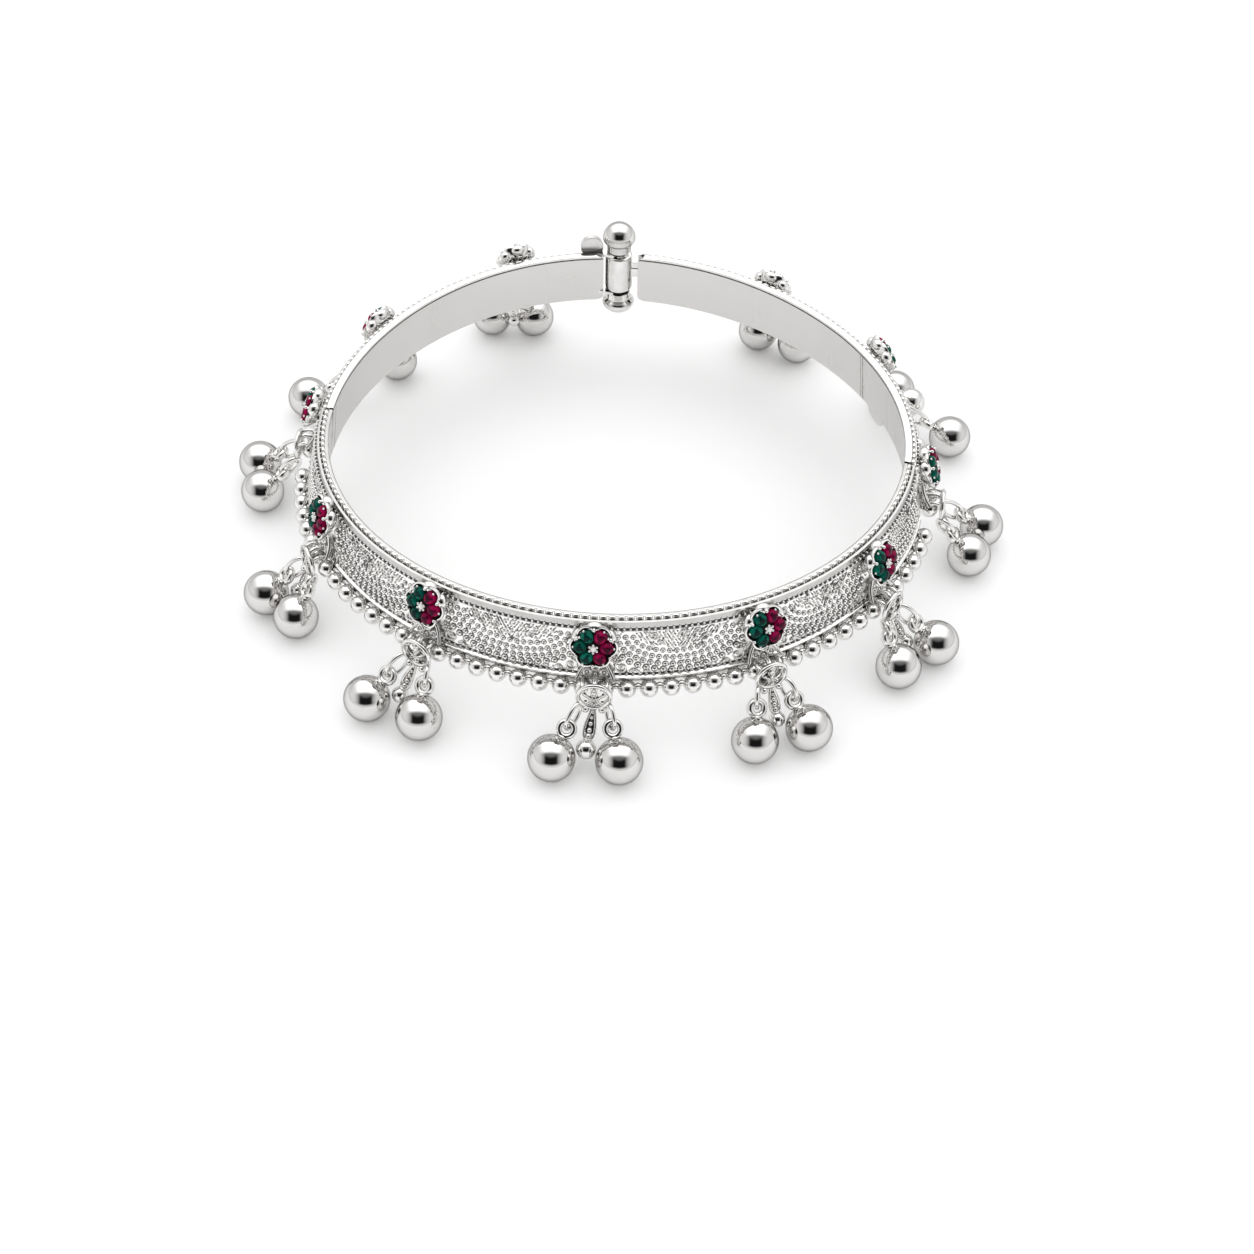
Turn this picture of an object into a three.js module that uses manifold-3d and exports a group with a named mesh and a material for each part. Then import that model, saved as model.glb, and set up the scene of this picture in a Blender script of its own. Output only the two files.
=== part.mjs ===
// Payal anklet: a stiff, flared silver band in three segments, closed at the
// back by a screw pin, with eleven stone-set flowers and a pair of hollow balls
// hanging below each flower. Millimetres, +Z up, Z = 0 is the surface that the
// balls rest on, the Z axis runs through the middle of the loop, and -Y is the
// front, opposite the clasp. Azimuths are in degrees from the front, growing
// towards +X and the right-hand side.
import * as THREE from 'three';
import { mergeVertices } from 'three/addons/utils/BufferGeometryUtils.js';
import Module from 'manifold-3d';

const wasm = await Module();
wasm.setup();

// ---- driving dimensions ----------------------------------------------------
const RIM_Z = 18.45;          // flat top rim above the resting surface
const R_IN_TOP = 39.0;        // inner radius at the rim
const R_IN_LOW = 39.9;        // inner radius at the lower edge: the wall flares
const RIM_R = 40.35;          // outer edge of the flat rim
const FACE_R0 = 40.6;         // outer face radius at rim height
const FACE_SLOPE = 0.19;      // outer face flare, radius per height
const BAND_STEPS = 60;        // facets round the loop
// Plan shape of the hand-bent loop: radius = nominal + sum of these waves.
const PLAN = [
  { wave: 2, cos: -0.04, sin: 0.16 },
  { wave: 3, cos: -0.5, sin: -0.13 },
  { wave: 4, cos: 0.13, sin: 0.11 },
];
const PLAN_MEAN = 0.07;
// Band section, radius and drop below the rim, walked round once.
const SECTION = [
  { r: R_IN_TOP, d: 0 }, { r: R_IN_LOW, d: 8.45 },                      // inner wall
  { r: 41.9, d: 8.85 }, { r: 42.45, d: 9.65 },                          // underside
  { r: 43.3, d: 10.05 }, { r: 44.1, d: 9.72 }, { r: 44.4, d: 8.95 },    // beaded lip
  { r: 44.1, d: 8.18 }, { r: 43.3, d: 7.85 }, { r: 42.55, d: 8.2 },
  { r: 42.12, d: 7.95 }, { r: 40.83, d: 1.2 },                          // outer face
  { r: 40.95, d: 0.7 }, { r: 40.75, d: 0.25 }, { r: RIM_R, d: 0 },      // rope under the rim
];

// Hinges: vertical pins inside the wall, where the two rear arms join the front.
const HINGE_R = 40.7;
const HINGES = [
  { name: 'left', az: 268.1, armSide: -1 },
  { name: 'right', az: 78.5, armSide: 1 },
];
const KNUCKLE_R = 0.65, KNUCKLE_BORE_R = 0.39, HINGE_PIN_R = 0.32;
const KNUCKLE_TOP = 1.6, KNUCKLE_A = 3.0, KNUCKLE_B = 5.7, KNUCKLE_LOW = 7.9; // drops
const KNUCKLE_GAP = 0.15, END_GAP = 0.2, RELIEF_R = 0.85, OPEN_ANGLE = 42;

// Clasp at the back.
const CLASP_AZ = 180.2, CLASP_R = 41.4;
const CAP_R = 2.45, NECK_R = 1.8, SHAFT_R = 0.95, BARREL_R = 2.05, BORE_R = 1.03;
const LEFT_END = 2.25, RIGHT_END = 2.85;    // band ends from the clasp axis
const TAB_AZ = 110, TAB_HALF_W = 2.6, TAB_DEPTH = 1.45; // rounded tab below the right segment's wall

// Below each flower one station row: azimuth of the flower and the drop of its
// middle, then the azimuth and radius of its two big balls, then the azimuth, radius, height and
// diameter of the small middle one. arm says which segment carries it.
const STATIONS = [
  { az: -2.8, fd: 2.75, la: -8.6, lr: 49.6, ra: 1.3, rr: 49.4, ma: -3.7, mr: 48, mz: 3.6, md: 2.6, arm: 'front' },
  { az: 26.6, fd: 2.75, la: 22, lr: 48.9, ra: 30.5, rr: 49.9, ma: 26.7, mr: 47.25, mz: 3.8, md: 2.1, arm: 'front' },
  { az: 53.5, fd: 2.75, la: 50.2, lr: 49.1, ra: 58.1, rr: 50.8, ma: 55, mr: 47.5, mz: 3.6, md: 2.1, arm: 'front' },
  { az: 82.1, fd: 2.75, la: 79.6, lr: 50.2, ra: 86.9, rr: 51.9, ma: 83.7, mr: 47.75, mz: 3.6, md: 2.1, arm: 'right' },
  { az: 115.4, fd: 1.9, la: 109.2, lr: 52.2, ra: 123.8, rr: 50.6, ma: 117.6, mr: 49.4, mz: 5, md: 4.2, arm: 'right' },
  { az: 146.8, fd: 2.1, la: 145, lr: 48.5, ra: 153, rr: 48.2, ma: 149, mr: 47.6, mz: 5.4, md: 1.9, arm: 'right' },
  { az: 201.4, fd: 1.5, la: 196.3, lr: 47.4, ra: 203.6, rr: 49.7, ma: 200.9, mr: 45.75, mz: 4.2, md: 1.9, arm: 'left' },
  { az: 236.4, fd: 2, la: 225.4, lr: 47.5, ra: 242.9, rr: 51.9, ma: 236, mr: 48, mz: 3.6, md: 2.6, arm: 'left' },
  { az: 264.5, fd: 2.3, la: 260.9, lr: 52.1, ra: 268, rr: 50.3, ma: 263.7, mr: 48, mz: 3.6, md: 2.2, arm: 'left' },
  { az: 296.5, fd: 2.4, la: 292.6, lr: 50.9, ra: 299.5, rr: 48.8, ma: 295, mr: 47, mz: 3.9, md: 2.1, arm: 'front' },
  { az: 326.3, fd: 2.6, la: 321.2, lr: 50.3, ra: 329.9, rr: 49, ma: 325, mr: 47.5, mz: 3.6, md: 2.2, arm: 'front' },
];
const BALL_R = 3.05;          // hollow jingle ball
const EYE_R = 0.96, EYE_WIRE_R = 0.38, EYE_AT = 4.15;   // flat eyelet on the ball
const RING_WIRE_R = 0.24, RING_HALF_W = 1.0;            // oval jump ring
const RING_LOW_AT = 4.15, RING_TURN = 26;    // the ring's lower wire, from the ball's centre
const HANG_U = 1.8, HANG_R = 45.05, HANG_DROP = 10.2;  // where the rings hang
const FLOWER_TILT = 18, FLOWER_BACK = 0.74, FLOWER_DEPTH = 1.85;
const FLOWER_R = 2.5, FLOWER_LOBE = 0.15;

// ---- materials -------------------------------------------------------------
const silver = () => new THREE.MeshStandardMaterial({ color: 0xe9e7e3, roughness: 0.16, metalness: 1.0 });
const silverPlain = () => new THREE.MeshStandardMaterial({ color: 0xdedcd8, roughness: 0.28, metalness: 1.0 });
const silverBall = () => new THREE.MeshStandardMaterial({ color: 0xf1efec, roughness: 0.06, metalness: 1.0 });

// ---- helpers ---------------------------------------------------------------
const rad = THREE.MathUtils.degToRad;
const V = (x, y, z) => new THREE.Vector3(x, y, z);

function planOffset(az) {
  return PLAN.reduce((s, p) => s + p.cos * Math.cos(p.wave * rad(az)) + p.sin * Math.sin(p.wave * rad(az)), PLAN_MEAN);
}
const radial = (az) => V(Math.sin(rad(az)), -Math.cos(rad(az)), 0);
const tangent = (az) => V(Math.cos(rad(az)), Math.sin(rad(az)), 0);
// A point at an azimuth, a radius on the nominal circle, a drop below the rim
// and a sideways offset u along the band.
function place(az, r, drop, u = 0) {
  return radial(az).multiplyScalar(r + planOffset(az)).addScaledVector(tangent(az), u).setZ(RIM_Z - drop);
}
function frameAt(origin, x, y, z) {
  return new THREE.Matrix4().makeBasis(x, y, z).setPosition(origin);
}

function toSolid(geometry, matrix) {
  let g = geometry.index ? geometry.clone() : mergeVertices(geometry);
  g.deleteAttribute('normal');
  g.deleteAttribute('uv');
  if (matrix) g.applyMatrix4(matrix);
  g = mergeVertices(g, 1e-4);
  const index = g.index.array;
  const tri = [];
  for (let i = 0; i < index.length; i += 3) {
    const [a, b, c] = [index[i], index[i + 1], index[i + 2]];
    if (a !== b && b !== c && a !== c) tri.push(a, b, c);
  }
  return new wasm.Manifold(new wasm.Mesh({
    numProp: 3, vertProperties: new Float32Array(g.attributes.position.array), triVerts: new Uint32Array(tri),
  }));
}
function toGeometry(solid) {
  const m = solid.getMesh();
  const p = new Float32Array((m.vertProperties.length / m.numProp) * 3);
  for (let i = 0; i < p.length / 3; i++) for (let k = 0; k < 3; k++) p[i * 3 + k] = m.vertProperties[i * m.numProp + k];
  const g = new THREE.BufferGeometry();
  g.setAttribute('position', new THREE.BufferAttribute(p, 3));
  g.setIndex(Array.from(m.triVerts));
  g.computeVertexNormals();
  return g;
}
const joined = (solids) => solids.reduce((a, b) => a.add(b));

// An extrusion of a flat outline [x, y] along local +Z.
function slab(points, depth, matrix) {
  const shape = new THREE.Shape(points.map(([x, y]) => new THREE.Vector2(x, y)));
  return toSolid(new THREE.ExtrudeGeometry(shape, { depth, bevelEnabled: false, steps: 1 }), matrix);
}
// A turned body about local +Z from [radius, z] rows.
function turned(rows, segments, matrix) {
  const g = new THREE.LatheGeometry(rows.map(([r, z]) => new THREE.Vector2(r, z)), segments);
  g.rotateX(Math.PI / 2);
  let s = toSolid(g);
  if (s.volume() < 0) {
    g.index.array.reverse();
    s = toSolid(g);
  }
  return matrix ? s.transform(matrix.elements) : s;
}
const rod = (r, z0, z1, segments, matrix) => turned([[0, z0], [r, z0], [r, z1], [0, z1]], segments, matrix);
function upright(az, r, u = 0) {
  return frameAt(place(az, r, RIM_Z, u).setZ(0), tangent(az), radial(az).negate(), V(0, 0, 1));
}

// ---- the band --------------------------------------------------------------
function bandRing() {
  const rows = SECTION.map(({ r, d }) => new THREE.Vector2(r, RIM_Z - d));
  rows.push(rows[0].clone());
  const g = new THREE.LatheGeometry(rows, BAND_STEPS);
  g.rotateX(Math.PI / 2);
  const p = g.attributes.position;
  for (let i = 0; i < p.count; i++) {
    const x = p.getX(i), y = p.getY(i), r = Math.hypot(x, y);
    const az = THREE.MathUtils.radToDeg(Math.atan2(x, -y));
    const k = (r + planOffset(az)) / r;
    p.setXY(i, x * k, y * k);
  }
  let s = toSolid(g);
  if (s.volume() < 0) {
    g.index.array.reverse();
    s = toSolid(g);
  }
  return s;
}
function sector(from, to) {
  const points = [[0, 0]];
  const n = Math.ceil((to - from) / 10);
  for (let i = 0; i <= n; i++) {
    const v = radial(from + ((to - from) * i) / n).multiplyScalar(70);
    points.push([v.x, v.y]);
  }
  return slab(points, RIM_Z + 10, new THREE.Matrix4().setPosition(0, 0, -5));
}
const endAngle = THREE.MathUtils.radToDeg(END_GAP / HINGE_R);
const azOfU = (u) => THREE.MathUtils.radToDeg(u / CLASP_R);

function hingeFrame(h) {
  return frameAt(place(h.az, HINGE_R, 0).setZ(0), tangent(h.az), radial(h.az).negate(), V(0, 0, 1));
}
function knuckle(h, side, dropTop, dropLow) {
  const m = hingeFrame(h);
  const z0 = RIM_Z - dropLow, z1 = RIM_Z - dropTop;
  const body = rod(KNUCKLE_R, z0, z1, 12, m);
  const a = side > 0 ? 0 : -1.5, b = side > 0 ? 1.5 : 0;
  const web = slab([[a, -0.42], [b, -0.42], [b, 0.42], [a, 0.42]], z1 - z0, m.clone().multiply(new THREE.Matrix4().setPosition(0, 0, z0)));
  return body.add(web);
}
const pinBore = (h) => rod(KNUCKLE_BORE_R, 0, RIM_Z - 0.4, 12, hingeFrame(h));
const relief = (h) => rod(RELIEF_R, RIM_Z - 14, RIM_Z - 0.75, 12, hingeFrame(h));
// Room for the arm's outer side to swing into, cut from the front segment.
function swingRoom(h) {
  const v = -h.armSide * 0.25, s = v - h.armSide * Math.tan(rad(OPEN_ANGLE)) * 7;
  const points = h.armSide > 0 ? [[1, 0], [v, 0], [s, -7], [1, -7]] : [[-1, 0], [-1, -7], [s, -7], [v, 0]];
  return slab(points, RIM_Z + 4, hingeFrame(h).multiply(new THREE.Matrix4().setPosition(0, 0, -2)));
}
const claspFrame = upright(CLASP_AZ, CLASP_R - planOffset(CLASP_AZ));
const bowlRoom = () => rod(CAP_R + 0.35, RIM_Z - 14, RIM_Z - 8.1, 20, claspFrame);

const ring = bandRing();
function frontBand() {
  let s = ring.intersect(sector(HINGES[0].az - 360 + endAngle, HINGES[1].az - endAngle));
  for (const h of HINGES) {
    s = s.subtract(relief(h)).subtract(swingRoom(h));
    s = s.add(knuckle(h, -h.armSide, KNUCKLE_TOP, KNUCKLE_A)).add(knuckle(h, -h.armSide, KNUCKLE_B + KNUCKLE_GAP, KNUCKLE_LOW));
    s = s.subtract(pinBore(h));
  }
  return s;
}
function armBand(h, from, to) {
  let s = ring.intersect(sector(from, to)).subtract(relief(h)).subtract(bowlRoom());
  s = s.add(knuckle(h, h.armSide, KNUCKLE_A + KNUCKLE_GAP, KNUCKLE_B));
  return s.subtract(pinBore(h));
}

// ---- the clasp: a barrel on the right arm, two open hooks on the left ------
function barrel() {
  const z = RIM_Z;
  const body = turned([
    [0, z - 10.7], [1.3, z - 10.5], [2.1, z - 9.9], [CAP_R, z - 9.1], [2.25, z - 8.6], [1.6, z - 8.3],
    [1.55, z - 7.15], [1.3, z - 7.15], [1.3, z - 6.55], [BARREL_R, z - 6.55], [BARREL_R, z - 0.5],
    [BORE_R, z - 0.5], [BORE_R, z - 6.3], [0, z - 6.3],
  ], 16, claspFrame);
  const lug = slab([[-RIGHT_END - 0.8, -0.5], [-1.6, -0.5], [-1.6, 0.5], [-RIGHT_END - 0.8, 0.5]], 2.7,
    claspFrame.clone().multiply(new THREE.Matrix4().setPosition(0, 0.35, z - 4.4)));
  return body.add(lug);
}
function hook(inner, drop, depth) {
  const points = [];
  const outer = 1.92, reach = LEFT_END + 1.2;
  for (let a = 65; a >= -65; a -= 13) points.push([inner * Math.cos(rad(a)), inner * Math.sin(rad(a))]);
  points.push([outer * Math.cos(rad(-65)), outer * Math.sin(rad(-65))], [reach, -0.9], [reach, 0.9],
    [outer * Math.cos(rad(65)), outer * Math.sin(rad(65))]);
  return slab(points.reverse(), depth, claspFrame.clone().multiply(new THREE.Matrix4().setPosition(0, 0, RIM_Z - drop)));
}
function ear() {
  const points = [];
  for (let a = -180; a < 180; a += 20) points.push([1.7 * Math.cos(rad(a)), 1.7 * Math.sin(rad(a))]);
  const az = CLASP_AZ + azOfU(4.1);
  const m = frameAt(place(az, 40.3, -0.7), tangent(az), V(0, 0, 1), radial(az));
  return slab(points, 0.9, m);
}
function claspPin() {
  const z = RIM_Z, rows = [[0, z - 6.1], [SHAFT_R, z - 6.1], [SHAFT_R, z + 0.4], [NECK_R, z + 0.4], [2.0, z + 1.6], [2.35, z + 1.9]];
  for (let a = 0; a < 90; a += 18) rows.push([CAP_R * Math.cos(rad(a)), z + 2.2 + CAP_R * Math.sin(rad(a))]);
  rows.push([0, z + 2.2 + CAP_R]);
  return turned(rows, 16, claspFrame);
}

// A rounded tab that reaches below the right segment's wall.
function tab() {
  const points = [[TAB_HALF_W, 1.2], [-TAB_HALF_W, 1.2]];
  for (let a = 180; a <= 360; a += 20) points.push([TAB_HALF_W * Math.cos(rad(a)), TAB_DEPTH * Math.sin(rad(a))]);
  return slab(points.reverse(), 0.8, frameAt(place(TAB_AZ, 39.85, 8.35), tangent(TAB_AZ), V(0, 0, 1), radial(TAB_AZ)));
}

// ---- flowers, hangers and balls --------------------------------------------
function faceR(drop) {
  return FACE_R0 + FACE_SLOPE * drop;
}
function flower(st) {
  const n = radial(st.az).multiplyScalar(Math.cos(rad(FLOWER_TILT))).setZ(Math.sin(rad(FLOWER_TILT)));
  const t = tangent(st.az);
  const up = n.clone().cross(t);
  const o = place(st.az, faceR(st.fd), st.fd).addScaledVector(n, FLOWER_BACK);
  const points = [];
  for (let a = 0; a < 360; a += 15) {
    const r = FLOWER_R + FLOWER_LOBE * Math.cos(rad(6 * a));
    points.push([r * Math.cos(rad(a)), r * Math.sin(rad(a))]);
  }
  return slab(points, FLOWER_DEPTH, frameAt(o, t, up, n));
}
// The line from a ball's centre to the place where its ring hangs.
function dropLine(st, az, r, side) {
  const ball = radial(az).multiplyScalar(r).setZ(BALL_R);
  const hang = place(st.az, HANG_R, HANG_DROP, side * HANG_U);
  const d = hang.clone().sub(ball);
  const length = d.length();
  d.normalize();
  let n = radial(st.az).multiplyScalar(0.7).setZ(0.7);
  n = n.addScaledVector(d, -n.dot(d)).normalize();
  return { ball, hang, d, n, t: d.clone().cross(n), length };
}
function ballWithEye(line) {
  const globe = new THREE.SphereGeometry(BALL_R, 10, 7).rotateX(Math.PI / 2);
  const eye = new THREE.TorusGeometry(EYE_R, EYE_WIRE_R, 4, 8);
  const at = line.ball.clone().addScaledVector(line.d, EYE_AT);
  return toSolid(globe, new THREE.Matrix4().setPosition(line.ball)).add(toSolid(eye, frameAt(at, line.t, line.d, line.t.clone().cross(line.d))));
}
function jumpRing(line, side) {
  const low = RING_LOW_AT, high = line.length + 0.25;
  const g = new THREE.TorusGeometry(RING_HALF_W, RING_WIRE_R, 4, 10);
  g.scale(1, (high - low) / 2 / RING_HALF_W, 1);
  const at = line.ball.clone().addScaledVector(line.d, (low + high) / 2);
  const n = line.n.clone().applyAxisAngle(line.d, side * rad(RING_TURN));
  return toSolid(g, frameAt(at, n, line.d, n.clone().cross(line.d)));
}
// The filigree fan below the flower and the basket that steps over the beaded
// lip, with the two rings and the tapered middle drop soldered to it.
function hanger(st) {
  const rowsFan = [[42.15, 5.6], [43.35, 7.4], [44.9, 8.1], [45.3, 7.6], [43.7, 6.9], [42.55, 5.4]];
  const rowsBasket = [[44.8, 7.6], [44.85, 10.5], [45.35, 10.5], [45.5, 9.1], [45.3, 7.3], [45.0, 7.2]];
  const base = radial(st.az).multiplyScalar(planOffset(st.az));
  const plate = (rows, w) => slab(rows.map(([r, d]) => [r, RIM_Z - d]), w,
    frameAt(base.clone().addScaledVector(tangent(st.az), w / 2), radial(st.az), V(0, 0, 1), tangent(st.az).negate()));
  const left = dropLine(st, st.la, st.lr, -1), right = dropLine(st, st.ra, st.rr, 1);
  const from = place(st.az, HANG_R, 10.2), bob = radial(st.ma).multiplyScalar(st.mr).setZ(st.mz);
  const aim = bob.clone().sub(from), reach = aim.length();
  aim.normalize();
  const n = radial(st.az).cross(aim).normalize();
  const end = reach - st.md / 2 + 0.4;
  const drop = turned([[0, 0], [0.3, 0], [0.5, reach / 2], [0.35, end], [0, end]], 6, frameAt(from, n, aim.clone().cross(n), aim));
  const bead = toSolid(new THREE.SphereGeometry(st.md / 2, 8, 5), new THREE.Matrix4().setPosition(bob));
  return joined([plate(rowsFan, 3.0), plate(rowsBasket, 4.2), drop, bead, jumpRing(left, -1), jumpRing(right, 1)]);
}

// ---- the assembly ----------------------------------------------------------
const anklet = new THREE.Group();
function add(name, solid, material, parent = anklet) {
  const mesh = new THREE.Mesh(toGeometry(solid), material);
  mesh.name = name;
  parent.add(mesh);
}
add('band_front', frontBand(), silver());
add('band_rear_left', joined([
  armBand(HINGES[0], CLASP_AZ + azOfU(LEFT_END), HINGES[0].az - endAngle), hook(1.2, 0.38, 0.4), hook(1.52, 7.05, 0.4), ear(),
]), silver());
add('band_rear_right', armBand(HINGES[1], HINGES[1].az + endAngle, CLASP_AZ - azOfU(RIGHT_END)).add(barrel()).add(tab()), silverPlain());
for (const h of HINGES) add(`hinge_pin_${h.name}`, rod(HINGE_PIN_R, RIM_Z - 8.05, RIM_Z - 0.75, 12, hingeFrame(h)), silverPlain());
add('clasp_pin', claspPin(), silverBall());
STATIONS.forEach((st, i) => {
  const id = String(i + 1).padStart(2, '0');
  const group = new THREE.Group();
  anklet.add(group);
  add(`flower_setting_${id}`, flower(st), silver(), group);
  add(`hanger_${id}`, hanger(st), silver(), group);
  add(`ball_${id}_a`, ballWithEye(dropLine(st, st.la, st.lr, -1)), silverBall(), group);
  add(`ball_${id}_b`, ballWithEye(dropLine(st, st.ra, st.rr, 1)), silverBall(), group);
});

export default anklet;
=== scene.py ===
import math

import bpy
import numpy as np
from mathutils import Matrix, Vector


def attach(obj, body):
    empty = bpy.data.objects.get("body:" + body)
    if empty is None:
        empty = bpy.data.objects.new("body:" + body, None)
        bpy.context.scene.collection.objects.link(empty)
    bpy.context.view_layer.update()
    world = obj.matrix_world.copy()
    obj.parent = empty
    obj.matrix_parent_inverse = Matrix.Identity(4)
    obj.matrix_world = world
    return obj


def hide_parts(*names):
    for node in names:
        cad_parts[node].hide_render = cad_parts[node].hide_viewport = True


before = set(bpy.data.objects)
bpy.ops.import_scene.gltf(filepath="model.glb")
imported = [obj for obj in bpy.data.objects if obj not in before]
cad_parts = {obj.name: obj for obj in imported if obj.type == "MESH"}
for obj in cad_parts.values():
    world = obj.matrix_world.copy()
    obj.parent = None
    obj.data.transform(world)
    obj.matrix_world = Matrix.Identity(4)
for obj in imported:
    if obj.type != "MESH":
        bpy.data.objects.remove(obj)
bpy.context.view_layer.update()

# ---- the anklet's dimensions, in millimetres, as in the frame ----------------
MM = 0.001
RIM_Z = 18.45
FACE_R0, FACE_SLOPE = 40.6, 0.19
PLAN_MEAN = 0.07
PLAN = [(2, -0.04, 0.16), (3, -0.5, -0.13), (4, 0.13, 0.11)]
HINGE_R = 40.7
HINGE_AZ = {"left": 268.1, "right": 78.5}
END_GAP, NOTCH_V, NOTCH_TAN = 0.2, 0.25, math.tan(math.radians(42))
CLASP_AZ, CLASP_R = 180.2, 41.4
LEFT_END, RIGHT_END = 2.25, 2.85
TAB_AZ, TAB_HALF_W, TAB_DEPTH = 110, 2.6, 1.45
BALL_R, EYE_AT = 3.05, 4.15
RING_LOW_AT, RING_HALF_W, RING_TURN = 4.15, 1.0, math.radians(26)
HANG_U, HANG_R, HANG_DROP = 1.8, 45.05, 10.2
FLOWER_TILT, FLOWER_BACK = 18, 0.74
# azimuth of the flower and drop of its middle; azimuth and radius of its two balls; azimuth, radius,
# height and diameter of the small middle one; the body that carries it all
STATIONS = [
    (-2.8, 2.75, -8.6, 49.6, 1.3, 49.4, -3.7, 48, 3.6, 2.6, "front"),
    (26.6, 2.75, 22, 48.9, 30.5, 49.9, 26.7, 47.25, 3.8, 2.1, "front"),
    (53.5, 2.75, 50.2, 49.1, 58.1, 50.8, 55, 47.5, 3.6, 2.1, "front"),
    (82.1, 2.75, 79.6, 50.2, 86.9, 51.9, 83.7, 47.75, 3.6, 2.1, "arm_right"),
    (115.4, 1.9, 109.2, 52.2, 123.8, 50.6, 117.6, 49.4, 5, 4.2, "arm_right"),
    (146.8, 2.1, 145, 48.5, 153, 48.2, 149, 47.6, 5.4, 1.9, "arm_right"),
    (201.4, 1.5, 196.3, 47.4, 203.6, 49.7, 200.9, 45.75, 4.2, 1.9, "arm_left"),
    (236.4, 2, 225.4, 47.5, 242.9, 51.9, 236, 48, 3.6, 2.6, "arm_left"),
    (264.5, 2.3, 260.9, 52.1, 268, 50.3, 263.7, 48, 3.6, 2.2, "arm_left"),
    (296.5, 2.4, 292.6, 50.9, 299.5, 48.8, 295, 47, 3.9, 2.1, "front"),
    (326.3, 2.6, 321.2, 50.3, 329.9, 49, 325, 47.5, 3.6, 2.2, "front"),
]
rng = np.random.default_rng(7)


# ---- places on the anklet ------------------------------------------------------
def plan_offset(az):
    a = np.radians(az)
    return PLAN_MEAN + sum(c * np.cos(w * a) + s * np.sin(w * a) for w, c, s in PLAN)


def radial(az):
    a = np.radians(az)
    return np.stack([np.sin(a), -np.cos(a), 0 * a], -1)


def tangent(az):
    a = np.radians(az)
    return np.stack([np.cos(a), np.sin(a), 0 * a], -1)


def place(az, r, drop, u=0.0):
    az, r, drop, u = np.broadcast_arrays(*(np.asarray(v, float) for v in (az, r, drop, u)))
    p = radial(az) * (r + plan_offset(az))[..., None] + tangent(az) * u[..., None]
    p[..., 2] = RIM_Z - drop
    return p


def face_r(drop):
    return FACE_R0 + FACE_SLOPE * drop


TILT = math.atan(FACE_SLOPE)


def on_face(az, drop, u, out):
    """Points at a distance out from the flared face, u along it from az."""
    az, drop, u = np.broadcast_arrays(*(np.asarray(v, float) for v in (az, drop, u)))
    a = az + np.degrees(u / (face_r(drop) + plan_offset(az)))
    return place(a, face_r(drop) + out * math.cos(TILT), drop - out * math.sin(TILT)), a


def face_frames(a, tilt=TILT):
    """Columns: along the band, up the face, out of the face."""
    a = np.asarray(a, float)
    n = radial(a) * math.cos(tilt)
    n[..., 2] = math.sin(tilt)
    t = tangent(a)
    return np.stack([t, np.cross(n, t), n], -1)


# ---- mesh building -------------------------------------------------------------
def outward(verts, faces):
    """The faces of a closed body, turned over where they point inwards."""
    p = verts - verts.mean(0)
    tri = np.array([(f[0], f[i], f[i + 1]) for f in faces for i in range(1, len(f) - 1)])
    if np.einsum("ij,ij->", p[tri[:, 0]], np.cross(p[tri[:, 1]], p[tri[:, 2]])) >= 0:
        return faces
    return [list(f)[::-1] for f in faces]


class Build:
    """Gathers parts in millimetres, then makes one object in metres."""

    def __init__(self):
        self.v, self.f, self.m, self.s, self.n = [], [], [], [], 0

    def add(self, verts, faces, mat=0, smooth=True):
        verts = np.asarray(verts, float)
        faces = outward(verts, faces)
        self.v.append(verts)
        if isinstance(faces, np.ndarray):
            self.f.extend((faces + self.n).tolist())
        else:
            self.f.extend([[i + self.n for i in f] for f in faces])
        k = len(faces)
        self.m.extend(mat if isinstance(mat, list) else [mat] * k)
        self.s.extend([smooth] * k)
        self.n += len(verts)

    def array(self, template, origins, frames, scales, mat=0, smooth=True):
        """Copies of a template (verts, faces): one for each origin, frame and scale."""
        tv, tf = template
        origins = np.asarray(origins, float).reshape(-1, 3)
        n = len(origins)
        if not n:
            return
        scales = np.broadcast_to(np.asarray(scales, float), (n, 3))
        frames = np.broadcast_to(np.asarray(frames, float), (n, 3, 3))
        v = np.einsum("nij,nvj->nvi", frames, tv[None] * scales[:, None]) + origins[:, None]
        mirrored = np.linalg.det(frames) * scales.prod(1) < 0
        for faces in tf:
            f = faces[None] + (np.arange(n) * len(tv))[:, None, None]
            f[mirrored] = f[mirrored][:, :, ::-1]
            f = f.reshape(-1, faces.shape[1])
            self.f.extend((f + self.n).tolist())
            self.m.extend([mat] * len(f))
            self.s.extend([smooth] * len(f))
        self.v.append(v.reshape(-1, 3))
        self.n += n * len(tv)

    def object(self, name, mats, body, replaces=(), sharp=None):
        me = bpy.data.meshes.new(name)
        me.from_pydata((np.concatenate(self.v) * MM).tolist(), [], self.f)
        for m in mats:
            me.materials.append(m)
        me.polygons.foreach_set("material_index", np.array(self.m, np.int32))
        me.polygons.foreach_set("use_smooth", np.array(self.s, bool))
        if sharp:
            me.set_sharp_from_angle(angle=math.radians(sharp))
        me.update()
        ob = bpy.data.objects.new(name, me)
        bpy.context.scene.collection.objects.link(ob)
        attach(ob, body)
        if replaces:
            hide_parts(*replaces)
        return ob


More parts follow.
